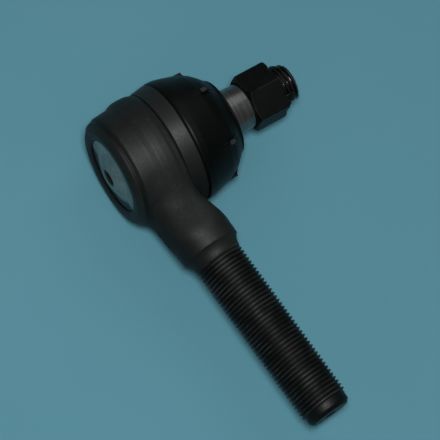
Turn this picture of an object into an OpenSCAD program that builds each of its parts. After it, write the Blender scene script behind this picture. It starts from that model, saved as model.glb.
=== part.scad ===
// Tie rod end: outer ball joint of a steering linkage.
// The origin is the ball centre. +X runs along the threaded shank to its tip,
// +Y points to the side of the nut, and +Z is up with the joint on its side.
// The socket's own axis, which the stud shares, is in the XY plane and tilts a little from +Y towards +X.
// All sizes are in millimetres.

/* [Ball joint] */
// Radius of the stud's ball
ball_r = 11; // [10.5:0.1:11.2]
// Thickness of the bearings around the ball
bearing_t = 2.1; // [1.8:0.1:2.3]

/* [Socket] */
// How far the socket's axis tilts towards the shank from square to it, in degrees
socket_tilt = 3.7; // [0:0.1:4]
// Radius of the socket at its widest, around the ball's middle
socket_r = 22.6; // [22:0.1:22.8]
// Distance from the ball centre down to the crest of the rolled lip
lip_depth = 14; // [13.8:0.1:14.2]
// Height of the shoulder that the boot's ring stands on, above the ball centre
shoulder_y = 5.8; // [5.6:0.1:6]

/* [Shank] */
// Major radius of the shank's thread, M18
shank_r = 9; // [8:0.5:9]
// Distance from the ball centre to the shank's tip
shank_tip_x = 110.4; // [95:0.1:130]
// Radius of the forged collar where the neck ends
collar_r = 11; // [10.6:0.1:12]

/* [Stud] */
// Major radius of the stud's thread, M14
stud_thread_r = 7; // [6:0.5:7]
// Radius of the taper at its small end, under the nut
taper_small_r = 8.43; // [8:0.01:8.6]
// Height of the taper's small end above the ball centre
taper_top_y = 41; // [40.5:0.1:41.2]
// Height of the stud's tip above the ball centre
stud_tip_y = 60.6; // [59.6:0.1:62]

/* [Nut] */
// Width of the castle nut across its flats
nut_af = 19; // [19:0.5:22]
// Height of the hexagonal part of the nut
nut_hex_h = 13.1; // [12.5:0.1:13.2]
// Height of the whole nut with its crown
nut_h = 16.8; // [16.4:0.1:17.2]
// Width of the slots in the crown
nut_slot_w = 4.2; // [3.6:0.1:4.6]

/* [Boot] */
// Largest radius of the rubber boot
boot_r = 23.2; // [22.9:0.1:23.5]
// Height of the boot's lip above the ball centre
boot_lip_y = 32.2; // [31:0.1:33]
// Number of short ribs around the boot's shoulder
boot_ribs = 6; // [3:1:8]

/* [Hidden] */
$fn = 96;
hull_fn = 32;
tiny = 0.01;

// Running clearances
ball_gap = 0.05;
bearing_gap = 0.05;
thread_gap = 0.05;
press_gap = 0.05;

// Socket cavity
cavity_r = ball_r + bearing_t + bearing_gap;
bore_r = 14.2;
cup_r = bore_r - bearing_gap;
bore_top_y = -1;
mouth_r = 10.4;
mouth_top_y = 8;
mouth_flare_r = 12.6;
spigot_r = 18.6;
spigot_top_y = 10.4;
cover_seat_y = -11.2;

// Outside of the drum: the lip's inner edge, its crest, the groove behind it, the wall and the shoulder
lip_inner_r = 14.3;
lip_inner_y = -13.6;
lip_crest_in_r = 15.2;
lip_crest_out_r = 17.5;
lip_round_r = 19.7;
lip_round_y = -12.4;
groove_r = 20.5;
groove_y = -11;
wall_low_r = 20.75;
wall_low_y = -10.8;
wall_mid_r = 21.4;
wall_mid_y = -3.6;
wide_low_y = -2;
wide_top_y = 2.8;
shoulder_r = 21.7;

// End cover
cover_r = 15.1;
cover_t = 1.8;
cover_lip_r = 13.85;
dome_r = 10.6;
dome_rise = 2.1;
dome_slope = 1.8;
dome_inset = 0.4;
grease_r = 3;
grease_mouth_r = 3.3;
grease_boss_r = 5;
grease_boss_h = 0.6;
cover_out_y = cover_seat_y - cover_t;
dome_out_y = cover_out_y - dome_rise;
dome_in_y = dome_out_y + cover_t;

// Preload spring, a single coned disc
spring_out_r = 8.9;
spring_in_r = 5.8;
spring_t = 0.7;
spring_base_y = dome_in_y + 0.02;
spring_crest_y = -11.65;

// Lower bearing, with a foot that reaches into the cover's dome
cup_base_y = -11.6;
cup_foot_r = 10.1;
cup_rim_y = -10.9;
cup_hole_r = 3.4;
cup_top_y = -1.6;
cup_chamfer = 1.5;

// Upper bearing, a slice of a hollow ball with its top edge opened out for the stud
upper_low_y = -0.8;
upper_top_y = 7.4;
upper_inner_top_y = 6;
upper_mouth_r = 9.2;
upper_mouth_top_r = 10.1;

// Shank along X
thread_start_x = 44.8;
pilot_len = 3.4;
pilot_r = shank_r - 0.9;
tip_chamfer = 1.4;
tip_r = 7;
collar_start_x = 33;
collar_edge_x = 40.2;
collar_edge_r = 10.8;
waist_x = 25.5;
waist_r = 10.2;
waist_y = -1.2;
neck_root_x = 7;
neck_root_r = 15.6;
neck_root_low_y = -12.2;
neck_root_h = 17;
collar_round_x = 37;
cone_x = 43.4;
cone_r = 8.9;

// Stud along Y
neck_r = 6;
neck_top_y = 14;
neck_flare_r = 7;
neck_flare_y = 16.8;
taper_low_y = 20.5;
taper_slope = 0.05;
taper_low_r = taper_small_r + taper_slope * (taper_top_y - taper_low_y);
thread_low_y = 42.4;
stud_chamfer = 0.6;
cotter_r = 1.6;
cotter_y = 56;
ball_flat_r = 3.6;

// Castle nut
nut_y = 41.2;
nut_bore_r = stud_thread_r + thread_gap;
nut_corner_r = nut_af / 2 / cos(30);
nut_face_r = nut_af / 2 - 0.6;
nut_face_chamfer = 1.25;
nut_top_r = nut_af / 2 + 0.8;
nut_top_chamfer = 0.5;
nut_crown_r = 8;
nut_crown_top_r = 7.6;
nut_crown_chamfer = 0.6;
nut_slot_low = nut_hex_h - 0.6;
nut_relief_r = taper_small_r + 0.15;
nut_relief_h = 1.6;

// Boot and its rings
ring_low_y = shoulder_y + 0.15;
ring_top_y = 12;
ring_low_r = 22;
ring_top_r = 23;
ring_in_r = 20.95;
boot_low_y = ring_top_y + 0.1;
boot_shoulder_y = 23.8;
boot_shoulder_r = 20.8;
boot_lip_r = 14.5;
boot_wall = 2;
boot_belly_low_y = 12.8;
boot_belly_top_y = 15.5;
boot_wide_r = 22.6;
boot_wide_y = 17.6;
boot_fold_r = 19.9;
boot_fold_y = 25.2;
boot_turn_r = 17.8;
boot_turn_y = 28.2;
boot_heel_r = 15.6;
boot_heel_y = 30.6;
boot_lip_low_y = 31.3;
inner_base_r = 19.6;
inner_wide_r = 20.5;
inner_fold_r = 15.8;
inner_fold_y = 27.2;
inner_heel_r = 12.6;
slide_ring_r = 11;
slide_ring_low_y = 28.4;
slide_ring_gap = 0.06;
slide_flange_r = 12;
slide_flange_t = 0.8;
rib_low_y = 22;
rib_top_y = 26.4;
rib_r = 21;
rib_w = 1.5;
rib_angle = 41;
ring_room_r = ring_top_r + 0.4;

// Turns an outline of [radius, height] points into a solid along +Y
module along_y() {
    rotate([-90, 0, 0]) children();
}

module turned_y(outline) {
    along_y() rotate_extrude() polygon(outline);
}

// The same, along +X
module turned_x(outline) {
    rotate([0, 90, 0]) rotate_extrude() polygon(outline);
}

// A sphere turned about Y, cut to the slice between two heights
module ball_slice(r, low, high) {
    along_y() intersection() {
        sphere(r = r);
        translate([0, 0, low]) cylinder(r = r + 1, h = high - low);
    }
}

// Turns what is drawn along +Y onto the socket's own axis
module tilted() {
    rotate([0, 0, -socket_tilt]) children();
}

// Round section across X, used to build the forged neck
module neck_disc(x, y, r) {
    translate([x, y, 0]) rotate([0, 90, 0]) cylinder(r = r, h = tiny, $fn = hull_fn);
}

// Forged drum with the rolled lip at its closed end and the boot's spigot at its open end
module socket_solid() {
    turned_y([
        [0, cover_out_y + 0.5], [cover_lip_r, cover_out_y - 0.05], [lip_inner_r, lip_inner_y],
        [lip_crest_in_r, -lip_depth], [lip_crest_out_r, -lip_depth],
        [lip_round_r, lip_round_y], [groove_r, groove_y],
        [wall_low_r, wall_low_y], [wall_mid_r, wall_mid_y],
        [socket_r, wide_low_y], [socket_r, wide_top_y], [shoulder_r, shoulder_y],
        [spigot_r, shoulder_y], [spigot_r, spigot_top_y], [0, spigot_top_y]
    ]);
}

// Everything that is hollow in the drum
module socket_hollow() {
    turned_y([
        [0, -lip_depth - 1], [cover_lip_r, -lip_depth - 1], [cover_lip_r, cover_out_y],
        [cover_r, cover_out_y], [cover_r, cover_seat_y],
        [bore_r, cover_seat_y], [bore_r, bore_top_y], [0, bore_top_y]
    ]);
    ball_slice(cavity_r, bore_top_y - 1, cavity_r);
    turned_y([
        [0, 0], [mouth_r, 0], [mouth_r, mouth_top_y],
        [mouth_flare_r, spigot_top_y + tiny], [0, spigot_top_y + tiny]
    ]);
}

// Space around the spigot that the boot and its ring fill, which the neck keeps out of
module ring_room() {
    turned_y([
        [spigot_r, shoulder_y], [ring_room_r, shoulder_y],
        [ring_room_r, boot_low_y + 2], [spigot_r, boot_low_y + 2]
    ]);
}

// Neck that runs from the drum into the round collar
module neck() {
    hull() {
        translate([neck_root_x, neck_root_low_y, 0])
            along_y() cylinder(r = neck_root_r, h = neck_root_h, $fn = hull_fn);
        neck_disc(waist_x, waist_y, waist_r);
    }
    hull() {
        neck_disc(waist_x, waist_y, waist_r);
        neck_disc(collar_start_x, 0, collar_r);
    }
}

module shank() {
    turned_x([
        [0, collar_start_x], [collar_r, collar_start_x], [collar_r, collar_round_x],
        [collar_edge_r, collar_edge_x], [cone_r, cone_x],
        [shank_r, thread_start_x], [shank_r, shank_tip_x - pilot_len],
        [pilot_r, shank_tip_x - pilot_len], [pilot_r, shank_tip_x - tip_chamfer],
        [tip_r, shank_tip_x], [0, shank_tip_x]
    ]);
}

module housing() {
    color("dimgray") difference() {
        union() {
            tilted() socket_solid();
            neck();
            shank();
        }
        tilted() socket_hollow();
        tilted() ring_room();
    }
}

// Pressed steel plate with a raised middle, tapped for a grease nipple
module end_cover() {
    color("darkgray") tilted() difference() {
        turned_y([
            [0, dome_out_y], [dome_r - dome_slope, dome_out_y], [dome_r, cover_out_y],
            [cover_r - press_gap, cover_out_y], [cover_r - press_gap, cover_seat_y],
            [dome_r + dome_inset, cover_seat_y], [dome_r - dome_slope + dome_inset, dome_in_y],
            [grease_boss_r, dome_in_y], [grease_boss_r, dome_in_y + grease_boss_h],
            [0, dome_in_y + grease_boss_h]
        ]);
        turned_y([
            [0, dome_out_y - tiny], [grease_mouth_r, dome_out_y - tiny], [grease_r, dome_out_y + 0.3],
            [grease_r, dome_in_y + 1], [0, dome_in_y + 1]
        ]);
    }
}

module preload_spring() {
    color("slategray") tilted() turned_y([
        [spring_in_r, spring_crest_y - spring_t], [spring_out_r, spring_base_y],
        [spring_out_r, spring_base_y + spring_t], [spring_in_r, spring_crest_y]
    ]);
}

// Cup under the ball, pressed up by the spring
module lower_bearing() {
    color("ivory") tilted() difference() {
        turned_y([
            [cup_hole_r, cup_base_y], [cup_foot_r, cup_base_y], [cup_foot_r + 0.3, cup_rim_y],
            [cup_r - cup_chamfer, cup_rim_y], [cup_r, cup_rim_y + cup_chamfer], [cup_r, cup_top_y],
            [cup_hole_r, cup_top_y]
        ]);
        ball_slice(ball_r + ball_gap, -ball_r, 0);
    }
}

// Ring above the ball's middle, which the closed mouth of the socket backs
module upper_bearing() {
    color("ivory") tilted() difference() {
        ball_slice(ball_r + bearing_t, upper_low_y, upper_top_y);
        ball_slice(ball_r + ball_gap, -ball_r, upper_inner_top_y);
        turned_y([
            [0, upper_inner_top_y - 0.1], [upper_mouth_r, upper_inner_top_y - 0.1],
            [upper_mouth_top_r, upper_top_y + 0.1], [0, upper_top_y + 0.1]
        ]);
    }
}

// One forging: ball, neck, 1:10 taper and thread, drilled for a cotter pin
module ball_stud() {
    color("silver") tilted() difference() {
        union() {
            ball_slice(ball_r, -sqrt(ball_r * ball_r - ball_flat_r * ball_flat_r), ball_r);
            turned_y([
                [0, 0], [neck_r, 0], [neck_r, neck_top_y], [neck_flare_r, neck_flare_y],
                [taper_low_r, taper_low_y], [taper_small_r, taper_top_y], [stud_thread_r, thread_low_y],
                [stud_thread_r, stud_tip_y - stud_chamfer], [stud_thread_r - stud_chamfer, stud_tip_y],
                [0, stud_tip_y]
            ]);
        }
        translate([0, cotter_y, 0])
            rotate([0, 30, 0])
                cylinder(r = cotter_r, h = 4 * stud_thread_r, center = true);
    }
}

// Steel band that holds the boot's base on the spigot
module boot_retaining_ring() {
    color("#2a2c2c") tilted() turned_y([
        [ring_in_r, ring_low_y], [ring_low_r - 0.3, ring_low_y], [ring_low_r, ring_low_y + 0.4],
        [ring_top_r, ring_top_y - 0.4], [ring_top_r - 0.4, ring_top_y], [ring_in_r, ring_top_y]
    ]);
}

module boot_outside() {
    turned_y([
        [0, boot_low_y], [boot_r - 0.2, boot_low_y],
        [boot_r, boot_belly_low_y], [boot_r - 0.3, boot_belly_top_y], [boot_wide_r, boot_wide_y],
        [boot_shoulder_r, boot_shoulder_y], [boot_fold_r, boot_fold_y], [boot_turn_r, boot_turn_y],
        [boot_heel_r, boot_heel_y], [boot_lip_r, boot_lip_low_y], [boot_lip_r, boot_lip_y], [0, boot_lip_y]
    ]);
}

module boot_inside() {
    turned_y([
        [0, boot_low_y - 1], [inner_base_r, boot_low_y - 1],
        [inner_wide_r, boot_belly_top_y], [inner_wide_r - 0.1, boot_wide_y],
        [boot_shoulder_r - boot_wall, boot_shoulder_y - 0.5], [inner_fold_r, inner_fold_y],
        [inner_heel_r, slide_ring_low_y], [slide_ring_r, slide_ring_low_y + 0.2],
        [slide_ring_r, boot_lip_y + 1], [0, boot_lip_y + 1]
    ]);
}

// Short ribs that stand on the boot where its wall turns in
module boot_rib_set() {
    for (i = [0 : boot_ribs - 1])
        rotate([0, rib_angle + i * 360 / boot_ribs, 0])
            translate([-rib_w / 2, rib_low_y, boot_shoulder_r - 4])
                cube([rib_w, rib_top_y - rib_low_y, rib_r - boot_shoulder_r + 4]);
}

// Rubber boot, with a bead that reaches down between the spigot and the steel band
module dust_boot() {
    color("#191b1b") tilted() union() {
        turned_y([
            [spigot_r + press_gap, ring_low_y], [ring_in_r - press_gap, ring_low_y],
            [ring_in_r - press_gap, boot_low_y + 1], [spigot_r + press_gap, boot_low_y + 1]
        ]);
        difference() {
            union() {
                boot_outside();
                boot_rib_set();
            }
            boot_inside();
        }
    }
}

// Low friction ring in the boot's lip, which the stud turns in
module boot_slide_ring() {
    low_r = taper_small_r + taper_slope * (taper_top_y - slide_ring_low_y) + slide_ring_gap;
    high_r = taper_small_r + taper_slope * (taper_top_y - boot_lip_y) + slide_ring_gap;
    color("dimgray") tilted() turned_y([
        [low_r, slide_ring_low_y], [slide_flange_r, slide_ring_low_y - slide_flange_t - 0.1],
        [slide_flange_r, slide_ring_low_y - 0.1],
        [slide_ring_r - press_gap, slide_ring_low_y + 0.1], [slide_ring_r - press_gap, boot_lip_y - 0.2],
        [high_r, boot_lip_y - 0.2]
    ]);
}

// Hexagon with chamfered ends
module nut_hex() {
    intersection() {
        along_y() rotate([0, 0, 30]) cylinder(r = nut_corner_r, h = nut_hex_h, $fn = 6);
        turned_y([
            [0, 0], [nut_face_r, 0], [nut_corner_r + 0.2, nut_face_chamfer],
            [nut_corner_r + 0.2, nut_hex_h - nut_top_chamfer], [nut_top_r, nut_hex_h],
            [0, nut_hex_h]
        ]);
    }
}

module castle_nut() {
    color("#1d1f1f") tilted() translate([0, nut_y, 0]) difference() {
        union() {
            nut_hex();
            turned_y([
                [0, nut_hex_h - 1], [nut_crown_r, nut_hex_h - 1],
                [nut_crown_r, nut_h - nut_crown_chamfer], [nut_crown_top_r, nut_h], [0, nut_h]
            ]);
        }
        turned_y([
            [0, -1], [nut_relief_r, -1], [nut_relief_r, 0.3], [nut_bore_r, nut_relief_h],
            [nut_bore_r, nut_h + 1], [0, nut_h + 1]
        ]);
        for (turn = [30, 90, 150])
            rotate([0, turn, 0])
                translate([-nut_slot_w / 2, nut_slot_low, -2 * nut_af])
                    cube([nut_slot_w, nut_h, 4 * nut_af]);
    }
}

housing();
end_cover();
preload_spring();
lower_bearing();
upper_bearing();
ball_stud();
boot_retaining_ring();
dust_boot();
boot_slide_ring();
castle_nut();
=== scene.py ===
"""Tie rod end. The looks of the part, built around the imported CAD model.

Frame: the origin is the ball centre, +X runs along the shank to its tip, +Y points to the nut's side,
and +Z is up. The socket's own axis tilts from +Y towards +X; its pieces are drawn along Y and then
turned onto it.
The tables and helpers of shape work in millimetres; a mesh is scaled to metres when it is made.
"""
import math

import bmesh
import bpy
import numpy as np
from mathutils import Matrix, Vector, noise


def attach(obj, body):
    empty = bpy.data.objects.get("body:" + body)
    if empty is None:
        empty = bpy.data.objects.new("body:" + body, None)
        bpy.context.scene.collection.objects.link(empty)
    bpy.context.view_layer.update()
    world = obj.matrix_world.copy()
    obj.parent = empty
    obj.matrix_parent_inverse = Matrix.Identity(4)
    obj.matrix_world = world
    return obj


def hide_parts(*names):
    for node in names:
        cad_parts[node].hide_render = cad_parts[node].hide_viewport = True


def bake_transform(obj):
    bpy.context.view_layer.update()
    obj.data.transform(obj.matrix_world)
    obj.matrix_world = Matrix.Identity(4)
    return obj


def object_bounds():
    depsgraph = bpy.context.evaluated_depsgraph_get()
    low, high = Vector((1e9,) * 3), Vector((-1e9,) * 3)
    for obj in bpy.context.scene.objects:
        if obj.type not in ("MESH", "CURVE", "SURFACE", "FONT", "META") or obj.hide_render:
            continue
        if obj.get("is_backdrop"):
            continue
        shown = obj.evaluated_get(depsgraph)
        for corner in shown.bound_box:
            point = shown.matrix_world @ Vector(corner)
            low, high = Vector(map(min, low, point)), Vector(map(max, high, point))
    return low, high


MM = 0.001
TILT = math.radians(3.7)
ONTO_SOCKET = Matrix.Rotation(-TILT, 4, "Z")
PARTING_Y = -1.8
NUT_SEAT = 41.2

# Outlines are (r, y) in mm. Those of distance fields cross the axis to this r, so that it is inside them.
PAST_AXIS = -5

RUBBED = (0.07, 0.08, 0.076)
# Light grey for specks of dust, and for the painted highlight on the boot's ribs.
DUST_AND_HIGHLIGHT = (0.05, 0.055, 0.052)
# Near black, painted as shade on the lip's inner wall and in the groove behind the lip.
PAINTED_SHADE = (0.003, 0.0038, 0.0035)

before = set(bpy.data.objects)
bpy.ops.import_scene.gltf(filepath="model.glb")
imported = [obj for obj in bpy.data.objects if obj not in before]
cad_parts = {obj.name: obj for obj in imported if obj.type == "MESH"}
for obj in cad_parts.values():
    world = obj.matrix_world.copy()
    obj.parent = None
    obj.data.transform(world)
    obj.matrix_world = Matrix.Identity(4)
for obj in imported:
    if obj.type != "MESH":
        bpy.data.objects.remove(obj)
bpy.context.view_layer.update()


# ---------------------------------------------------------------- outlines and meshes

def rounded(points, steps=5):
    """An outline of (r, y, fillet radius) corners, as (r, y) points with each corner rounded."""
    count = len(points)
    most = 0.48
    made = []
    for i, (r, y, radius) in enumerate(points):
        here = np.array((r, y), float)
        back = np.array(points[i - 1][:2], float) - here
        ahead = np.array(points[(i + 1) % count][:2], float) - here
        if radius <= 0:
            made.append((r, y))
            continue
        reach_back, reach_ahead = np.linalg.norm(back), np.linalg.norm(ahead)
        back /= reach_back
        ahead /= reach_ahead
        half = math.acos(float(np.clip(back @ ahead, -0.9999, 0.9999))) / 2
        cut = min(radius / math.tan(half), most * reach_back, most * reach_ahead)
        start, end = here + back * cut, here + ahead * cut
        for k in range(steps + 1):
            t = k / steps
            point = (1 - t) ** 2 * start + 2 * t * (1 - t) * here + t * t * end
            made.append((float(point[0]), float(point[1])))
    return made


def turned_faces(rows, columns):
    """Quads between columns of corners that go once round an axis, each column a closed outline."""
    faces = []
    for j in range(columns):
        here, there = j * rows, (j + 1) % columns * rows
        for i in range(rows):
            k = (i + 1) % rows
            faces.append((here + i, here + k, there + k, there + i))
    return faces


def lathe(outline, columns):
    """A closed outline of (r, y) points turned about Y: corners and quads."""
    angle = np.linspace(0, 2 * np.pi, columns, endpoint=False)
    r, y = np.array(outline, float).T
    height = np.broadcast_to(y, (columns, len(r)))
    co = np.stack([np.outer(np.sin(angle), r), height, np.outer(np.cos(angle), r)], -1).reshape(-1, 3)
    return co, turned_faces(len(r), columns)


def outline_distance(u, v, outline):
    """Signed distance from the points (u, v) to a closed outline, negative inside it."""
    best = np.full(u.shape, 1e9)
    inside = np.zeros(u.shape, bool)
    for (au, av), (bu, bv) in zip(outline, outline[1:] + outline[:1]):
        eu, ev = bu - au, bv - av
        pu, pv = u - au, v - av
        t = np.clip((pu * eu + pv * ev) / (eu * eu + ev * ev), 0, 1)
        best = np.minimum(best, (pu - eu * t) ** 2 + (pv - ev * t) ** 2)
        if ev:
            inside ^= ((av > v) != (bv > v)) & (u < au + eu * (v - av) / ev)
    return np.where(inside, -1, 1) * np.sqrt(best)


def smooth_least(a, b, reach):
    """The lesser of two distances, with the corner between their surfaces filled over that reach."""
    h = np.clip(0.5 + 0.5 * (b - a) / reach, 0, 1)
    return b * (1 - h) + a * h - reach * h * (1 - h)


def onto_surface(co, field, step):
    """Moves points onto the zero surface of a distance field, by no more than step in each round."""
    probe = 0.02
    rounds = 3
    least_slope = 0.2
    for _ in range(rounds):
        value = field(co)
        slope = np.stack([
            field(co + probe * unit) - field(co - probe * unit) for unit in np.eye(3)
        ], -1) / (2 * probe)
        size = np.maximum((slope ** 2).sum(-1), least_slope)
        move = -(value / size)[:, None] * slope
        length = np.linalg.norm(move, axis=1, keepdims=True)
        co = co + move * np.minimum(1, step / np.maximum(length, 1e-9))
    return co


def surface_net(field, low, high, pitch):
    """Quads on the zero surface of a distance field, made from a grid of that pitch."""
    axes = [np.arange(a, b + pitch, pitch) for a, b in zip(low, high)]
    grid = np.stack(np.meshgrid(*axes, indexing="ij"), -1)
    value = field(grid.reshape(-1, 3)).reshape(grid.shape[:3])
    cells = tuple(n - 1 for n in value.shape)
    total, count = np.zeros(cells + (3,)), np.zeros(cells)
    for a in range(3):
        b, c = (a + 1) % 3, (a + 2) % 3
        for db in (0, 1):
            for dc in (0, 1):
                near = [None] * 3
                near[a] = slice(0, cells[a])
                near[b], near[c] = slice(db, cells[b] + db), slice(dc, cells[c] + dc)
                far = list(near)
                far[a] = slice(1, cells[a] + 1)
                v0, v1 = value[tuple(near)], value[tuple(far)]
                crosses = (v0 < 0) != (v1 < 0)
                t = np.where(crosses, v0 / np.where(crosses, v0 - v1, 1), 0)
                total[..., a] += t
                total[..., b] += crosses * db
                total[..., c] += crosses * dc
                count += crosses
    used = count > 0
    index = np.full(cells, -1)
    index[used] = np.arange(used.sum())
    place = np.argwhere(used) + total[used] / count[used][:, None]
    co = np.array(low, float) + place * pitch
    faces = []
    for a in range(3):
        b, c = (a + 1) % 3, (a + 2) % 3
        near = [slice(1, n) for n in cells]
        near[a] = slice(0, cells[a])
        far = list(near)
        far[a] = slice(1, cells[a] + 1)
        inside, outside = value[tuple(near)] < 0, value[tuple(far)] < 0
        for forward in (True, False):
            at = np.argwhere((inside & ~outside) if forward else (~inside & outside))
            at[:, b] += 1
            at[:, c] += 1
            ring = []
            for db, dc in ((-1, -1), (0, -1), (0, 0), (-1, 0)):
                cell = at.copy()
                cell[:, b] += db
                cell[:, c] += dc
                ring.append(index[tuple(cell.T)])
            faces.append(np.stack(ring if forward else ring[::-1], -1))
    return onto_surface(co, field, pitch), np.concatenate(faces)


def refine(co, faces, field, chosen, pitch):
    """Splits the faces whose middle is chosen, and puts all the corners back on the surface."""
    mesh = bpy.data.meshes.new("refined")
    mesh.from_pydata(co.tolist(), [], faces.tolist())
    bm = bmesh.new()
    bm.from_mesh(mesh)
    bpy.data.meshes.remove(mesh)
    middles = np.array([f.calc_center_median() for f in bm.faces])
    picked = {e for f, wanted in zip(bm.faces, chosen(middles)) if wanted for e in f.edges}
    bmesh.ops.subdivide_edges(bm, edges=list(picked), cuts=1, use_grid_fill=True)
    co = onto_surface(np.array([v.co for v in bm.verts]), field, pitch)
    faces = [[v.index for v in f.verts] for f in bm.faces]
    bm.free()
    return co, faces


def helix(start, end, crest, root, pitch, limit, rings_before, rings_after, columns=120):
    """A right-hand thread along +X, from start to end, with plain rings (x, r) on either side.

    limit gives the largest radius at each x, and has to come down to the root at both ends.
    """
    profile = np.array(((0.0, 1.0), (0.09, 1.0), (0.44, 0.05), (0.545, 0.0), (0.65, 0.05)))
    per_turn = len(profile)
    rows = int(math.ceil((end - start) / pitch) + 1) * per_turn + per_turn
    phase, height = profile.T
    i = np.arange(rows + 1)
    j = np.arange(columns)
    turn = i[:, None] // per_turn + phase[i % per_turn][:, None] - 1 + j[None] / columns
    along = start + turn * pitch
    x = np.clip(along, start, end)
    r = root + (crest - root) * height[i % per_turn][:, None] * np.ones_like(x)
    r = np.maximum(np.minimum(r, limit(x)), root)
    angle = 2 * np.pi * j / columns
    co = np.stack([x, r * np.sin(angle), -r * np.cos(angle)], -1).reshape(-1, 3).tolist()

    def corner(row, column):
        return (row + per_turn) * columns if column == columns else row * columns + column

    faces = []
    for row in range(rows):
        for column in range(columns):
            if column == columns - 1 and row + 1 + per_turn > rows:
                continue
            faces.append((
                corner(row, column), corner(row + 1, column),
                corner(row + 1, column + 1), corner(row, column + 1)
            ))
    for rings, first, outward in ((rings_before, 0, False), (rings_after, rows, True)):
        last = [first * columns + c for c in range(columns)]
        for ring_x, ring_r in rings:
            at = len(co)
            co += [(ring_x, ring_r * math.sin(a), -ring_r * math.cos(a)) for a in angle]
            for c in range(columns):
                d = (c + 1) % columns
                quad = (last[c], at + c, at + d, last[d])
                faces.append(quad if outward else quad[::-1])
            last = [at + c for c in range(columns)]
        faces.append(tuple(last[::-1]) if outward else tuple(last))
    return np.array(co), faces


def piece(name, co, faces, body, surface, node, crease, matrix=None):
    """Makes a mesh object from corners in mm, with its faces pointing out and edges past crease sharp.

    Without a body it doesn't ride on one.
    """
    merge = 0.002 * MM
    mesh = bpy.data.meshes.new(name)
    corners = (np.asarray(co, float) * MM).tolist()
    mesh.from_pydata(corners, [], [tuple(int(k) for k in face) for face in faces])
    bm = bmesh.new()
    bm.from_mesh(mesh)
    bmesh.ops.remove_doubles(bm, verts=bm.verts, dist=merge)
    bmesh.ops.dissolve_degenerate(bm, edges=bm.edges, dist=merge)
    bmesh.ops.recalc_face_normals(bm, faces=bm.faces)
    if matrix is not None:
        bmesh.ops.transform(bm, matrix=matrix, verts=bm.verts)
    for face in bm.faces:
        face.smooth = True
    sharp = math.radians(crease)
    for edge in bm.edges:
        edge.smooth = len(edge.link_faces) != 2 or edge.calc_face_angle(0) < sharp
    bm.to_mesh(mesh)
    bm.free()
    obj = bpy.data.objects.new(name, mesh)
    bpy.context.scene.collection.objects.link(obj)
    obj.data.materials.append(surface)
    if body:
        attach(obj, body)
    if node:
        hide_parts(node)
    return obj


# ---------------------------------------------------------------- materials

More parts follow.
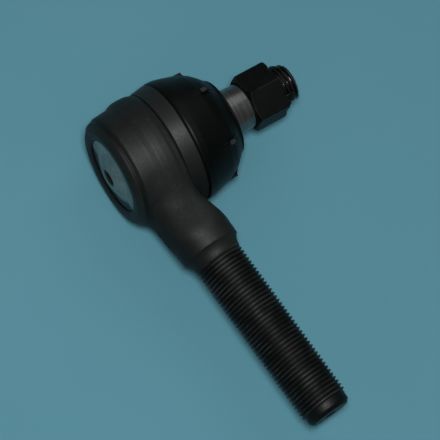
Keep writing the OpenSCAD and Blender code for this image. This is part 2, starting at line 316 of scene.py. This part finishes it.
class Nodes:
    """A short way to write a material's nodes."""

    def __init__(self, name):
        self.material = bpy.data.materials.new(name)
        self.material.use_nodes = True
        self.tree = self.material.node_tree
        self.shader = self.tree.nodes["Principled BSDF"]
        self.place = self.add("ShaderNodeTexCoord").outputs["Object"]

    def add(self, kind, **settings):
        made = self.tree.nodes.new(kind)
        for key, value in settings.items():
            setattr(made, key, value)
        return made

    def feed(self, socket, value):
        if isinstance(value, bpy.types.NodeSocket):
            self.tree.links.new(value, socket)
        else:
            socket.default_value = value

    def set(self, **values):
        """Sets inputs of the shader, with _ for each space in their names."""
        for key, value in values.items():
            self.feed(self.shader.inputs[key.replace("_", " ")], value)

    def in_socket(self):
        """The place in the socket's own frame, where Y is its axis."""
        mapping = self.add("ShaderNodeMapping")
        self.feed(mapping.inputs["Vector"], self.place)
        mapping.inputs["Rotation"].default_value = (0, 0, TILT)
        return mapping.outputs["Vector"]

    def stretched(self, scale, where=None):
        """The place times a scale for each axis."""
        mapping = self.add("ShaderNodeMapping")
        self.feed(mapping.inputs["Vector"], where or self.place)
        mapping.inputs["Scale"].default_value = scale
        return mapping.outputs["Vector"]

    def specular(self, level):
        self.shader.inputs["Specular IOR Level"].default_value = level

    def noise(self, scale, detail=2.0, rough=0.5, where=None):
        made = self.add("ShaderNodeTexNoise")
        self.feed(made.inputs["Vector"], where or self.place)
        made.inputs["Scale"].default_value = scale
        made.inputs["Detail"].default_value = detail
        made.inputs["Roughness"].default_value = rough
        return made.outputs["Fac"]

    def cells(self, scale):
        made = self.add("ShaderNodeTexVoronoi")
        self.feed(made.inputs["Vector"], self.place)
        made.inputs["Scale"].default_value = scale
        return made.outputs["Distance"]

    def span(self, value, low, high, to_low, to_high):
        """Maps low..high to to_low..to_high, and clamps."""
        made = self.add("ShaderNodeMapRange")
        names = ("Value", "From Min", "From Max", "To Min", "To Max")
        for name, amount in zip(names, (value, low, high, to_low, to_high)):
            self.feed(made.inputs[name], amount)
        return made.outputs["Result"]

    def spread(self, value, to_low=0, to_high=1):
        """Maps the range that a noise mostly stays in."""
        return self.span(value, 0.3, 0.7, to_low, to_high)

    def math(self, operation, a, b=0.0):
        made = self.add("ShaderNodeMath", operation=operation)
        self.feed(made.inputs[0], a)
        self.feed(made.inputs[1], b)
        return made.outputs["Value"]

    def both(self, a, b):
        """High where both shares are high."""
        return self.math("MULTIPLY", a, b)

    def total(self, a, b):
        return self.math("ADD", a, b)

    def between(self, value, rise, fall, share=1):
        """The share from the end of rise to the start of fall, and 0 outside them."""
        return self.both(self.span(value, *rise, 0, share), self.span(value, *fall, 1, 0))

    def mix(self, share, a, b):
        made = self.add("ShaderNodeMix", data_type="RGBA")
        self.feed(made.inputs["Factor"], share)
        self.feed(made.inputs["A"], (*a, 1) if isinstance(a, tuple) else a)
        self.feed(made.inputs["B"], (*b, 1) if isinstance(b, tuple) else b)
        return made.outputs["Result"]

    def radius(self, mask, where=None):
        """Distance from one of the axes: the mask has 0 along that axis and 1 across it."""
        made = self.add("ShaderNodeVectorMath", operation="LENGTH")
        self.feed(made.inputs[0], self.stretched(mask, where))
        return made.outputs["Value"]

    def along(self, axis, where=None):
        """The place along one axis, in metres."""
        made = self.add("ShaderNodeSeparateXYZ")
        self.feed(made.inputs[0], where or self.place)
        return made.outputs[axis]

    def edges(self, low, high):
        """1 on outside edges and 0 elsewhere, from how pointed the mesh is."""
        return self.span(self.add("ShaderNodeNewGeometry").outputs["Pointiness"], low, high, 0, 1)

    def bump(self, *layers):
        """Layers of (height, depth in mm), one over the other."""
        normal = None
        for height, depth in layers:
            made = self.add("ShaderNodeBump")
            made.inputs["Distance"].default_value = depth * MM
            self.feed(made.inputs["Height"], height)
            if normal:
                self.feed(made.inputs["Normal"], normal)
            normal = made.outputs["Normal"]
        self.set(Normal=normal)


def forged_steel():
    """Dull grey-black forged skin: fine grain, soft blotches, small worn spots, and painted shade on the
    lip's inner wall and in the groove behind it.

    The faint parting line of the dies runs round it. The neck is a little duller, and has painted shade on
    its low side.
    """
    n = Nodes("forged_steel")
    blotch = n.noise(120, 4, 0.6)
    grain = n.noise(2200, 3, 0.7)
    pits = n.cells(900)
    scratch = n.span(n.noise(60, 3, 0.6, n.stretched((1.5, 14, 14))), 0.68, 0.74, 0, 0.3)
    fleck = n.span(n.noise(950, 2, 0.6), 0.71, 0.77, 0, 0.55)
    skin = n.mix(n.spread(blotch), (0.0105, 0.013, 0.0115), (0.0185, 0.0215, 0.0195))
    skin = n.mix(n.span(grain, 0.35, 0.7, 0, 0.6), skin, (0.0055, 0.007, 0.006))
    skin = n.mix(n.math("MAXIMUM", fleck, scratch), skin, RUBBED)

    wander = n.spread(n.noise(90, 2, 0.5), -0.0002, 0.0002)
    off_line = n.math("ABSOLUTE", n.total(n.total(n.along("Y"), -PARTING_Y * MM), wander))
    ridge = n.span(off_line, 0.0001, 0.00045, 1, 0)
    skin = n.mix(n.both(ridge, n.span(n.noise(420, 3, 0.7), 0.52, 0.7, 0, 0.4)), skin, RUBBED)

    own = n.in_socket()
    height, away = n.along("Y", own), n.radius((1, 0, 1), own)
    # Painted shade on the lip's inner wall.
    inner = n.both(n.span(away, 0.0139, 0.0146, 1, 0), n.span(height, -0.0125, -0.0118, 1, 0))
    skin = n.mix(inner, skin, PAINTED_SHADE)
    # Painted shade in the groove behind the lip.
    groove = n.between(height, (-0.0124, -0.0118), (-0.0107, -0.0099), 0.75)
    skin = n.mix(groove, skin, PAINTED_SHADE)

    on_neck = n.between(n.along("X"), (0.019, 0.025), (0.031, 0.035), 0.2)
    # Painted shade: the neck's low side is darker past the drum.
    past_drum = n.span(n.along("X"), 0.016, 0.024, 0, 0.6)
    skin = n.mix(n.both(past_drum, n.span(n.along("Y"), -0.006, 0.001, 1, 0)), skin, (0.005, 0.0062, 0.0055))

    roughness = n.total(n.spread(grain, 0.5, 0.62), on_neck)
    n.set(Base_Color=skin, Metallic=0.35, Roughness=roughness)
    n.specular(0.26)
    n.bump((blotch, 0.10), (grain, 0.03), (n.span(pits, 0, 0.35, 0, 1), 0.012), (ridge, 0.02))
    return n.material


def thread_steel():
    """The same steel, rolled and oiled, with painted shade that makes the roots black; the crests are dull
    grey.
    """
    n = Nodes("oiled_thread")
    grain = n.noise(1500, 3, 0.6)
    patch = n.noise(170, 3, 0.6)
    # Painted shade: below the crests the thread is nearly black.
    crest = n.span(n.radius((0, 1, 1)), 0.0084, 0.0089, 0, 1)
    bare = n.both(crest, n.span(patch, 0.42, 0.62, 0.12, 1))
    skin = n.mix(crest, (0.0025, 0.0032, 0.0028), (0.0085, 0.0105, 0.0095))
    skin = n.mix(bare, skin, (0.05, 0.055, 0.053))
    n.set(Base_Color=skin, Metallic=0.4, Roughness=n.spread(grain, 0.42, 0.58))
    n.specular(0.25)
    n.bump((grain, 0.015))
    return n.material


def cover_steel():
    """Pressed plated sheet: satin and faintly clouded, with painted shade in its hole and a painted shadow
    along its far edge.
    """
    n = Nodes("cover_steel")
    grain = n.noise(1700, 3, 0.65)
    haze = n.noise(140, 4, 0.6)
    skin = n.mix(n.spread(haze), (0.145, 0.195, 0.188), (0.29, 0.35, 0.342))
    skin = n.mix(n.span(grain, 0.4, 0.75, 0, 0.4), skin, (0.05, 0.062, 0.06))
    away = n.radius((1, 0, 1), n.in_socket())
    # Painted shadow on the far side of the rim beyond the dome, and painted shade inside the hole.
    far_edge_shadow = n.both(n.span(away, 0.0092, 0.0108, 0, 1), n.span(n.along("Z"), -0.0015, -0.0035, 0, 0.95))
    hole = n.span(away, 0.0031, 0.0034, 0.9, 0)
    skin = n.mix(n.math("MAXIMUM", far_edge_shadow, hole), skin, (0.006, 0.0075, 0.007))
    n.set(Base_Color=skin, Metallic=0.7, Roughness=n.spread(grain, 0.42, 0.56))
    n.bump((haze, 0.05), (grain, 0.012))
    return n.material


def ring_paint():
    """Satin black on the band, with fine turning lines around it, and painted shade towards the shank, where
    it is also rougher.
    """
    n = Nodes("ring_black")
    lines = n.noise(40, 3, 0.6, n.stretched((0.6, 60, 0.6), n.in_socket()))
    grain = n.noise(1600, 2, 0.6)
    worn = n.span(n.noise(620, 3), 0.66, 0.74, 0, 0.4)
    skin = n.mix(n.spread(lines), (0.009, 0.011, 0.01), (0.016, 0.019, 0.0175))
    skin = n.mix(worn, skin, (0.07, 0.075, 0.072))
    # Painted shade on the shank's side of the band, which is also made rougher there.
    shank_side_shade = n.span(n.along("X"), 0.003, 0.012, 0, 1)
    skin = n.mix(n.both(shank_side_shade, 0.85), skin, (0.0025, 0.003, 0.0028))
    roughness = n.total(n.spread(grain, 0.42, 0.54), n.both(shank_side_shade, 0.18))
    n.set(Base_Color=skin, Roughness=roughness)
    n.specular(0.2)
    n.bump((lines, 0.02), (grain, 0.008))
    return n.material


def boot_rubber():
    """Moulded black rubber with a faint bloom, very fine pores and specks of dust, and a painted highlight
    on the tops of the ribs.
    """
    n = Nodes("boot_rubber")
    bloom = n.noise(110, 4, 0.6)
    pores = n.noise(1900, 2, 0.6)
    dust = n.span(n.noise(1300, 2, 0.6), 0.7, 0.78, 0, 0.35)
    skin = n.mix(n.span(bloom, 0.35, 0.75, 0, 1), (0.0014, 0.0018, 0.0016), (0.0034, 0.0042, 0.0038))
    skin = n.mix(dust, skin, DUST_AND_HIGHLIGHT)
    own = n.in_socket()
    # Painted highlight: the outer tops of the ribs are made lighter.
    past_dome = n.span(n.radius((1, 0, 1), own), 0.0206, 0.0208, 0, 0.6)
    skin = n.mix(n.both(past_dome, n.span(n.along("Y", own), 0.0243, 0.0246, 0, 1)), skin, DUST_AND_HIGHLIGHT)
    n.set(Base_Color=skin, Roughness=n.spread(pores, 0.36, 0.44))
    n.specular(0.11)
    n.bump((bloom, 0.05), (pores, 0.012))
    return n.material


def stud_steel():
    """Finely turned steel, with the marks of the tool around the stud's own axis and a dark oiled thread,
    with painted shade deeper in its roots.
    """
    n = Nodes("stud_steel")
    marks = n.noise(28, 4, 0.65, n.stretched((1, 90, 1), n.in_socket()))
    fine = n.noise(1500, 2, 0.6)
    haze = n.noise(160, 3, 0.6)
    own = n.in_socket()
    on_thread = n.span(n.along("Y", own), 0.0418, 0.0424, 0, 1)
    # The thread is oiled dark, and painted shade makes its roots darker still.
    oil_and_root_shade = n.both(on_thread, n.span(n.radius((1, 0, 1), own), 0.0064, 0.0068, 0.93, 0.45))
    skin = n.mix(n.spread(marks), (0.12, 0.125, 0.121), (0.2, 0.208, 0.203))
    skin = n.mix(n.span(haze, 0.4, 0.75, 0, 0.5), skin, (0.032, 0.035, 0.034))
    skin = n.mix(oil_and_root_shade, skin, (0.008, 0.009, 0.0085))
    n.set(Base_Color=skin, Metallic=0.9, Roughness=n.spread(marks, 0.23, 0.32))
    n.bump((marks, 0.02), (fine, 0.005))
    return n.material


def nut_oxide():
    """Black oxide on the nut, a little lighter in patches along its edges, as wear and as painted highlight.
    """
    n = Nodes("nut_black")
    grain = n.noise(1500, 3, 0.6)
    patch = n.noise(190, 3, 0.6)
    # Lighter edges: partly wear, partly painted highlight along the hex edges.
    rubbed_and_glint = n.both(n.edges(0.52, 0.58), n.span(patch, 0.44, 0.66, 0.1, 0.9))
    skin = n.mix(n.spread(patch), (0.0016, 0.002, 0.0018), (0.0038, 0.0047, 0.0042))
    skin = n.mix(rubbed_and_glint, skin, (0.06, 0.065, 0.062))
    n.set(Base_Color=skin, Metallic=0.2, Roughness=n.spread(grain, 0.44, 0.56))
    n.specular(0.12)
    n.bump((patch, 0.03), (grain, 0.012))
    return n.material


def moulded(name, dark, light, roughness):
    """A moulded plastic: slight clouding and a fine skin."""
    n = Nodes(name)
    cloud = n.noise(180, 3, 0.6)
    fine = n.noise(1800, 2, 0.6)
    n.set(
        Base_Color=n.mix(n.spread(cloud), dark, light),
        Roughness=n.spread(fine, roughness - 0.06, roughness + 0.08),
    )
    n.bump((fine, 0.008))
    return n.material


def spring_steel():
    """Bright spring steel with turning marks."""
    n = Nodes("spring_steel")
    rings = n.noise(60, 3, 0.6, n.stretched((1, 30, 1), n.in_socket()))
    n.set(
        Base_Color=n.mix(n.spread(rings), (0.2, 0.2, 0.21), (0.34, 0.34, 0.35)),
        Metallic=0.95, Roughness=n.spread(rings, 0.25, 0.4),
    )
    n.bump((rings, 0.01))
    return n.material


def paper():
    """The floor: plain pale paper."""
    n = Nodes("paper")
    fibre = n.noise(700, 4, 0.6)
    cloud = n.noise(9, 3, 0.5)
    skin = n.mix(n.spread(cloud), (0.112, 0.312, 0.392), (0.122, 0.329, 0.412))
    n.set(Base_Color=skin, Roughness=n.spread(fibre, 0.85, 0.95))
    n.specular(0.15)
    n.bump((fibre, 0.02))
    return n.material


# ---------------------------------------------------------------- housing

DRUM_FILLET = 4.0
LIP_END = -9.9
COLLAR_EDGE = 40.1

# From the closed end: the rolled lip, the groove behind it, the belt, and the spigot for the boot's ring
SOCKET_OUTSIDE = rounded([
    (PAST_AXIS, -13.5, 0), (13.9, -13.5, 0.2), (15.3, -13.95, 0.8), (17.6, -14.0, 0.8), (19.7, -12.5, 0.7),
    (20.1, -11.8, 0.4), (19.85, -11.2, 0.4), (20.4, -10.5, 0.5), (20.85, LIP_END, 0.5), (21.35, -4.4, 1.6),
    (22.4, -1.9, 1.6), (22.6, 0.4, 1.5), (22.55, 3.0, 0.8), (21.75, 5.75, 0.35), (18.6, 5.8, 0),
    (18.6, 10.4, 0.4), (PAST_AXIS, 10.4, 0)
])

# The upper bearing's seat is a part of a sphere round the ball centre
BEARING_SEAT = [(13.15 * math.cos(a), 13.15 * math.sin(a)) for a in np.radians(range(0, 40, 5))]
SOCKET_HOLLOW = [
    (PAST_AXIS, -20), (13.87, -20), (13.87, -13.0), (15.1, -13.0), (15.1, -11.2), (14.2, -11.2), (14.2, -1),
    (13.1, -1), *BEARING_SEAT, (10.4, 8), (12.6, 10.5), (12.6, 20), (PAST_AXIS, 20)
]
RING_ROOM = rounded([(18.6, 5.8, 0), (23.5, 5.8, 0.5), (23.5, 13.5, 0), (18.6, 13.5, 0)])
COLLAR = [
    (PAST_AXIS, 34), (10.6, 34), (10.8, COLLAR_EDGE), (10.2, 40.75), (9.62, 41.7), (9.2, 42.8), (8.95, 44.0),
    (8.7, 44.7), (8.0, 45.5), (PAST_AXIS, 45.5)
]
# Along X: how far the neck reaches towards -Y, +Y and +-Z, and the Y of its crest
NECK = np.array([
    (0, 10.9, 5.6, 17.0, 3.0), (6, 11.2, 5.6, 16.8, 3.0),
    (10, 11.35, 5.7, 16.4, 3.0), (14, 11.55, 6.0, 15.7, 3.0),
    (18, 11.65, 6.2, 14.4, 3.0), (21, 11.65, 6.4, 13.1, 2.6),
    (23.5, 11.5, 6.6, 12.1, 1.9), (25, 11.4, 7.5, 11.6, 1.3),
    (26.4, 11.35, 8.3, 11.3, 0.9), (29, 11.25, 9.15, 11.05, 0.5),
    (31.3, 11.2, 10.0, 11.0, 0.2), (33, 11.2, 10.5, 11.05, 0),
    (35, 11.2, 10.8, 11.05, 0), (38, 11.1, 10.85, 10.95, 0),
    (COLLAR_EDGE, 10.95, 10.75, 10.8, 0), (46, 10.6, 10.5, 10.6, 0)
])


def neck_table():
    """The neck's reaches, smoothed along X with a bell of 0.9 mm, every 0.1 mm."""
    x = np.arange(0, 46, 0.1)
    reach, width = 25, 9.0
    bell = np.exp(-0.5 * (np.arange(-reach, reach + 1) / width) ** 2)
    bell /= bell.sum()
    columns = []
    for column in NECK.T[1:]:
        raw = np.interp(x, NECK[:, 0], column)
        columns.append(np.convolve(np.pad(raw, reach, mode="edge"), bell, mode="valid"))
    return x, columns


NECK_X, NECK_REACH = neck_table()


def from_socket_axis(co):
    """Distance from the socket's axis and place along it."""
    x, y, z = co.T
    return np.hypot(x * math.cos(TILT) - y * math.sin(TILT), z), x * math.sin(TILT) + y * math.cos(TILT)


def neck_field(co):
    """The neck's section is flat on top, steep towards the boot and gentler towards the closed end."""
    x, y, z = co.T
    low, high, half, crest = (np.interp(x, NECK_X, reach) for reach in NECK_REACH)
    reach = np.where(y > crest, high - crest, low + crest)
    power = np.interp(x, (18, 25, 30, 36), (2.2, 3.0, 2.8, 2.05))
    u, v = np.abs(y - crest) / reach, np.maximum(np.abs(z) / half, 1e-3)
    size = (u ** power + v ** power) ** (1 / power)
    slope = size ** (1 - power) * np.hypot(u ** (power - 1) / reach, v ** (power - 1) / half)
    return np.maximum((size - 1) / slope, np.maximum(x - COLLAR_EDGE, 3 - x))


def housing_field(co):
    """Signed distance to the forging, from the drum to the start of the thread."""
    across, height = from_socket_axis(co)
    body = smooth_least(outline_distance(across, height, SOCKET_OUTSIDE), neck_field(co), DRUM_FILLET)
    body = np.maximum(body, -outline_distance(across, height, RING_ROOM))
    body = np.minimum(body, outline_distance(np.hypot(co[:, 1], co[:, 2]), co[:, 0], COLLAR))
    return np.maximum(body, -outline_distance(across, height, SOCKET_HOLLOW))


def uneven(co, least_r):
    """Sinks the outside by up to a few hundredths of a millimetre, as a forged surface is."""
    broad, small, depth = 7.0, 2.6, 0.0016
    wave = np.array([noise.noise(Vector(p) / broad) + 0.5 * noise.noise(Vector(p) / small) for p in co])
    outside = from_socket_axis(co)[0] > least_r
    return co * (1 - depth * np.where(outside, np.abs(wave), 0))[:, None]


def housing(surface):
    """The forging: drum with a rolled lip, neck and collar, finer at the lip and the collar's edge."""
    pitch = 0.45
    co, faces = surface_net(housing_field, (-23.6, -15.9, -23.5), (46.4, 12.3, 23.5), pitch)

    def fine(middle):
        across, height = from_socket_axis(middle)
        lip = (height < LIP_END) & (across > 13)
        return lip | ((middle[:, 0] > COLLAR_EDGE - 0.8) & (middle[:, 0] < COLLAR_EDGE + 1.4))

    co, faces = refine(co, faces, housing_field, fine, pitch / 2)
    co = uneven(co, 16)
    return piece("housing_forging", co, faces, "socket", surface, "housing", crease=60)


def shank(surface):
    """The M18x1.5 thread and its plain pilot."""
    crest, root, start, end, tip = 8.98, 8.08, 42.0, 107.1, 110.4

    def limit(x):
        return root + np.minimum((x - start) * 2, (end - x) * 1.4)

    after = [
        (end + 0.15, 8.1), (109.0, 8.1), (109.25, 8.0), (tip - 0.15, 7.1), (tip, 6.9), (tip, 2.4),
        (tip - 0.9, 1.2)
    ]
    co, faces = helix(start, end, crest, root, 1.5, limit, [(start - 1, 7)], after)
    return piece("shank_thread", co, faces, "socket", surface, None, crease=25)


def cover(surface):
    """The pressed plate, with a domed middle and the hole for a grease nipple."""
    mouth = -14.7
    hole_thread = [(r, mouth + 0.5 * step, 0) for step, r in enumerate((2.6, 3.05, 2.6), 1)]
    outline = rounded([
        (15.05, -11.2, 0.2), (15.05, -13.0, 0), (13.7, -13.02, 0.6), (10.4, -13.1, 2.5), (7.6, -14.1, 2),
        (4.9, -15.06, 1), (3.6, -15.1, 0.15), (3.05, mouth, 0.1), *hole_thread, (3.0, -12.72, 0),
        (5.0, -12.72, 0.3), (5.2, -13.25, 0.2), (9.0, -13.1, 0.6), (10.9, -11.2, 0.5)
    ])
    co, faces = lathe(outline, 144)
    return piece(
        "end_cover_plate", co, faces, "socket", surface, "end_cover", crease=50,
        matrix=ONTO_SOCKET
    )


def retaining_ring(surface):
    """The band round the boot's bead, a little wider towards the boot."""
    bore = 20.98
    outline = rounded([
        (bore, 6.0, 0.1), (21.75, 5.97, 0.15), (22.05, 6.3, 0.25), (22.9, 11.55, 0.4), (22.6, 11.97, 0.2),
        (bore, 11.97, 0.1)
    ])
    co, faces = lathe(outline, 160)
    return piece(
        "boot_ring_band", co, faces, "socket", surface, "boot_retaining_ring", crease=50,
        matrix=ONTO_SOCKET
    )


# ---------------------------------------------------------------- boot

RIBS = 6
RIB_TURN = math.radians(41)
RIB_HALF = math.radians(2.1)
RIB_R, RIB_LOW, RIB_TOP, RIB_FOOT = 20.98, 21.9, 26.4, 28.4


def boot_outline():
    """The rubber's outline between two ribs, and how many of its points are on the dome."""
    dome = rounded([
        (21.8, 12.1, 0.1), (22.8, 12.12, 0.3), (23.12, 12.9, 0.5), (22.92, 15.3, 2), (22.4, 17.5, 3),
        (21.48, 20.85, 3), (20.66, 23.6, 2), (19.0, 26.7, 2), (17.65, 28.3, 1.5), (15.8, 30.2, 1.2),
        (14.6, 31.0, 0.5), (14.4, 31.5, 0.2), (14.4, 32.0, 0.15), (14.25, 32.18, 0.1)
    ], 4)
    lip = [(13.2, 32.18), (11.6, 32.1), (11.05, 31.95)]
    inside = [
        (11.05, 28.7), (12.6, 28.5), (15.7, 27.2), (18.6, 23.4), (20.3, 17.6), (20.4, 15.5), (19.5, 13.6)
    ]
    bead = [(18.7, 13.0), (18.7, 6.2), (20.88, 6.2), (20.88, 12.1)]
    return np.array(dome + lip + inside + bead, float).T, len(dome)


def on_a_rib(r, y, dome_count):
    """The same outline where a rib stands on it: straight out to the rib's top, then down to the dome."""
    rows = np.arange(len(r))
    dome = rows < dome_count
    on_rib = dome & (y > RIB_LOW) & (y <= RIB_FOOT) & (r < RIB_R + 0.3)
    rib_r, rib_y = r.copy(), y.copy()
    side = on_rib & (y <= RIB_TOP)
    rib_r[side] = np.maximum(r[side], RIB_R)
    end = rows[on_rib & (y > RIB_TOP)]
    foot = np.interp(RIB_TOP, y[dome], r[dome])
    for share, k in zip(np.linspace(0, 1, len(end) + 1), end):
        rib_r[k] = RIB_R + (foot - RIB_R) * share
        rib_y[k] = RIB_TOP + 0.02
    return rib_r, rib_y


def boot_columns():
    """The angle of each column of corners, and whether it is on a rib. They are close beside each rib."""
    sector = 2 * math.pi / RIBS
    near = [0, RIB_HALF - 0.012, RIB_HALF, RIB_HALF + 0.006, RIB_HALF + 0.03]
    side = near + list(np.linspace(RIB_HALF + 0.06, sector / 2, 12))
    offsets = sorted({-offset for offset in side[1:-1]} | set(side))
    return [
        (RIB_TURN + i * sector + offset, abs(offset) <= RIB_HALF + 1e-9)
        for i in range(RIBS) for offset in offsets
    ]


def boot(surface):
    """Turned rubber dome with six ribs at its shoulder and a thick lip round the stud."""
    (r, y), dome_count = boot_outline()
    rib_r, rib_y = on_a_rib(r, y, dome_count)
    columns = boot_columns()
    co = np.concatenate([
        np.stack([
            (rib_r if ribbed else r) * math.sin(angle), rib_y if ribbed else y,
            (rib_r if ribbed else r) * math.cos(angle)
        ], -1)
        for angle, ribbed in columns
    ])
    faces = turned_faces(len(r), len(columns))
    obj = piece(
        "boot_rubber", co, faces, None, surface, "dust_boot", crease=48, matrix=ONTO_SOCKET
    )
    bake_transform(obj)
    return obj


# ---------------------------------------------------------------- stud and nut

def stud(surface):
    """Ball, neck, 1:10 taper and M14x1.5 thread with a chamfered tip."""
    crest, root, start, end = 6.97, 6.08, 42.4, 60.6
    ball_r = 11
    before = [(41.35, 7.2), (41.0, 8.42), (30, 8.97), (20.5, 9.45), (16.8, 7), (14, 6), (9.5, 6)]
    before += [(-math.cos(a) * ball_r, math.sin(a) * ball_r) for a in np.radians(range(143, 15, -4))]

    def limit(x):
        return root + np.minimum((x - start) * 1.2, (end - x) * 2.5)

    after = [(end, 5.9), (end, 2.0), (end - 0.8, 0.9)]
    co, faces = helix(start, end, crest, root, 1.5, limit, before, after)
    to_y = Matrix.Rotation(math.pi / 2, 4, "Z")
    return piece(
        "ball_stud_turned", co, faces, "stud", surface, "ball_stud", crease=25,
        matrix=ONTO_SOCKET @ to_y
    )


def nut_field(co):
    """Signed distance to the castle nut, with its seat face at y 0."""
    x, y, z = co.T
    across = np.hypot(x, z)
    half_flat, hex_h, height, slot_half, slot_low = 9.5, 13.1, 16.8, 2.15, 12.55
    turns = np.radians((30, 90, 150))
    hexagon = outline_distance(across, y, [
        (PAST_AXIS, 0), (8.95, 0), (11.2, 1.3), (11.2, hex_h - 0.5), (10.4, hex_h), (PAST_AXIS, hex_h)
    ])
    for a in turns:
        hexagon = np.maximum(hexagon, np.abs(z * math.cos(a) - x * math.sin(a)) - half_flat)
    crown = outline_distance(across, y, [
        (PAST_AXIS, 2), (7.95, 2), (7.75, height - 1), (7.3, height), (PAST_AXIS, height)
    ])
    bore = outline_distance(across, y, [
        (PAST_AXIS, -1), (8.55, -1), (8.55, 0.25), (7.05, 1.7), (7.05, height + 1), (PAST_AXIS, height + 1)
    ])
    body = np.maximum(smooth_least(hexagon, crown, 0.25), -bore)
    for a in turns:
        off = np.abs(x * math.cos(a) - z * math.sin(a)) - slot_half
        body = np.maximum(body, -np.maximum(off, slot_low - y))
    return body


def nut(surface):
    """The castle nut, set on the stud at the small end of the taper."""
    co, faces = surface_net(nut_field, (-11.6, -0.5, -11.6), (11.6, 17.4, 11.6), 0.24)
    co = co + np.array((0, NUT_SEAT, 0))
    return piece(
        "castle_nut_body", co, faces, "nut", surface, "castle_nut", crease=45, matrix=ONTO_SOCKET
    )


def carried_over():
    """CAD nodes that keep their own shape and get a finish."""
    plastic = moulded("bearing_plastic", (0.62, 0.6, 0.52), (0.76, 0.74, 0.66), 0.42)
    slide = moulded("slide_plastic", (0.07, 0.07, 0.07), (0.12, 0.12, 0.12), 0.45)
    for node, surface in (
        ("lower_bearing", plastic), ("upper_bearing", plastic),
        ("boot_slide_ring", slide), ("preload_spring", spring_steel())
    ):
        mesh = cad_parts[node].data
        mesh.materials.clear()
        mesh.materials.append(surface)


# ---------------------------------------------------------------- floor, lights and camera

def floor():
    """A sheet of plain paper just under the lowest point."""
    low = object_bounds()[0]
    half, gap = 3.0, 0.0002
    mesh = bpy.data.meshes.new("floor")
    corners = [(-half, -half, 0), (half, -half, 0), (half, half, 0), (-half, half, 0)]
    mesh.from_pydata(corners, [], [(0, 1, 2, 3)])
    obj = bpy.data.objects.new("floor", mesh)
    bpy.context.scene.collection.objects.link(obj)
    obj.location = (0, 0, low.z - gap)
    mesh.materials.append(paper())
    obj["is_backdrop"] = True


def camera_axes(azimuth, elevation, roll):
    """Right, up and back of a camera at that azimuth and elevation, turned about its line of sight."""
    a, e, r = (math.radians(v) for v in (azimuth, elevation, roll))
    back = Vector((math.sin(a) * math.cos(e), -math.cos(a) * math.cos(e), math.sin(e)))
    right = Vector((math.cos(a), math.sin(a), 0))
    up = back.cross(right)
    return math.cos(r) * right + math.sin(r) * up, -math.sin(r) * right + math.cos(r) * up, back


def area_light(name, place, aim, size, power):
    """A round light of that size in metres and power in watts."""
    data = bpy.data.lights.new(name, "AREA")
    data.shape = "DISK"
    data.size = size
    data.energy = power
    obj = bpy.data.objects.new(name, data)
    bpy.context.scene.collection.objects.link(obj)
    obj.location = place
    obj.rotation_mode = "QUATERNION"
    obj.rotation_quaternion = (Vector(aim) - Vector(place)).to_track_quat("-Z", "Y")
    return obj


def camera(right, up, back):
    """The photo's view, from a distance at which the outline fits the photo best."""
    distance = 0.8
    aim = 0.02618 * right - 0.02149 * up
    data = bpy.data.cameras.new("camera")
    data.sensor_width = 36
    data.lens = 187
    data.clip_start, data.clip_end = 0.01, 20
    obj = bpy.data.objects.new("camera", data)
    bpy.context.scene.collection.objects.link(obj)
    turned = Matrix((right, up, back)).transposed().to_4x4()
    obj.matrix_world = Matrix.Translation(aim + back * distance) @ turned
    bpy.context.scene.camera = obj


def lights(right, up, back):
    """Two small lights beside the camera, a soft fill and a dim even surround."""
    middle = Vector((0.03, 0.01, 0))
    area_light("key", middle + back * 0.85 + up * 0.05 + right * 0.02, middle, 0.14, 4.6)
    high = area_light("high", middle + back * 0.83 + up * 0.19 + right * 0.05, middle, 0.16, 4.2)
    high.visible_diffuse = False  # it only adds its reflection
    area_light("fill", middle + Vector((-0.5, 0.6, 0.9)), middle, 0.9, 1.2)
    world = bpy.data.worlds.new("studio")
    bpy.context.scene.world = world
    world.use_nodes = True
    background = world.node_tree.nodes["Background"]
    background.inputs["Color"].default_value = (1, 1, 1, 1)
    background.inputs["Strength"].default_value = 0.11
    bpy.context.scene.view_settings.view_transform = "Standard"


housing(forged_steel())
shank(thread_steel())
cover(cover_steel())
retaining_ring(ring_paint())
boot(boot_rubber())
stud(stud_steel())
nut(nut_oxide())
carried_over()
floor()
photo_view = camera_axes(31.91, 69.60, 23.60)
camera(*photo_view)
lights(*photo_view)
